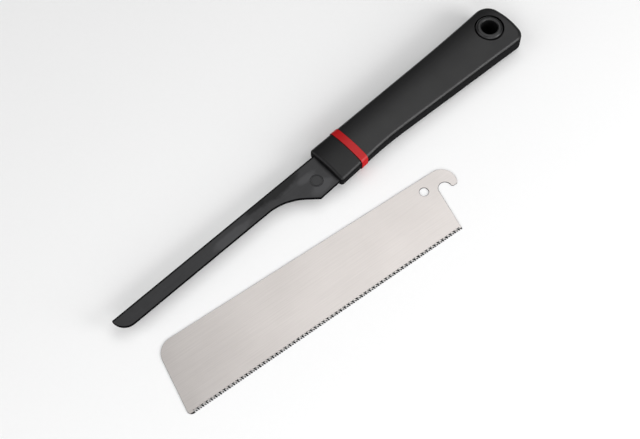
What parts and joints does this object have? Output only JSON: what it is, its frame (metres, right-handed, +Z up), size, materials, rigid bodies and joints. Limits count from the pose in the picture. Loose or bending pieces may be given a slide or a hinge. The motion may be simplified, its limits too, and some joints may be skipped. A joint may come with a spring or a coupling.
{
  "type": "flush cut saw",
  "caption": "Flush cut saw taken apart: long folded steel back in a moulded handle with a coloured band and hanging hole, and the hooked, fine-toothed blade lying beside it.",
  "frame": {"origin": "centre of the hanging hole, at the mid-plane of the saw's handle and back", "axes": "+X along the steel back to its nose, +Y to the side that the teeth face, +Z up out of the broad side, away from the surface on which saw and blade lie"},
  "size_m": [0.2938, 0.09, 0.0172],
  "materials": {
    "spine_steel": "blackened spring steel, satin",
    "stud_steel": "blackened steel, satin",
    "inner_steel": "plain drawn and cut steel",
    "core_plastic": "dark grey moulded, matt",
    "collar_plastic": "black moulded, satin",
    "band_plastic": "red moulded, soft gloss",
    "grip_plastic": "black moulded, satin",
    "eyelet_plastic": "black moulded, satin",
    "blade_steel": "ground along its length, teeth heat-darkened"
  },
  "bodies": {
    "saw": {"spine": "spine_steel", "lock_stud_upper": "stud_steel", "lock_stud_lower": "stud_steel", "hook_pin": "inner_steel", "tang_spacer": "inner_steel", "tang_rivet_front": "inner_steel", "tang_rivet_rear": "inner_steel", "core_upper": "core_plastic", "core_lower": "core_plastic", "front_collar": "collar_plastic", "red_band": "band_plastic", "grip_sleeve": "grip_plastic", "hanger_eyelet": "eyelet_plastic"},
    "blade": {"blade": "blade_steel"}
  },
  "joints": [
    {"name": "blade_lift", "type": "slide", "parent": "saw", "child": "blade", "axis": [0, 0, 1], "range_m": [0, 0.1]}
  ]
}
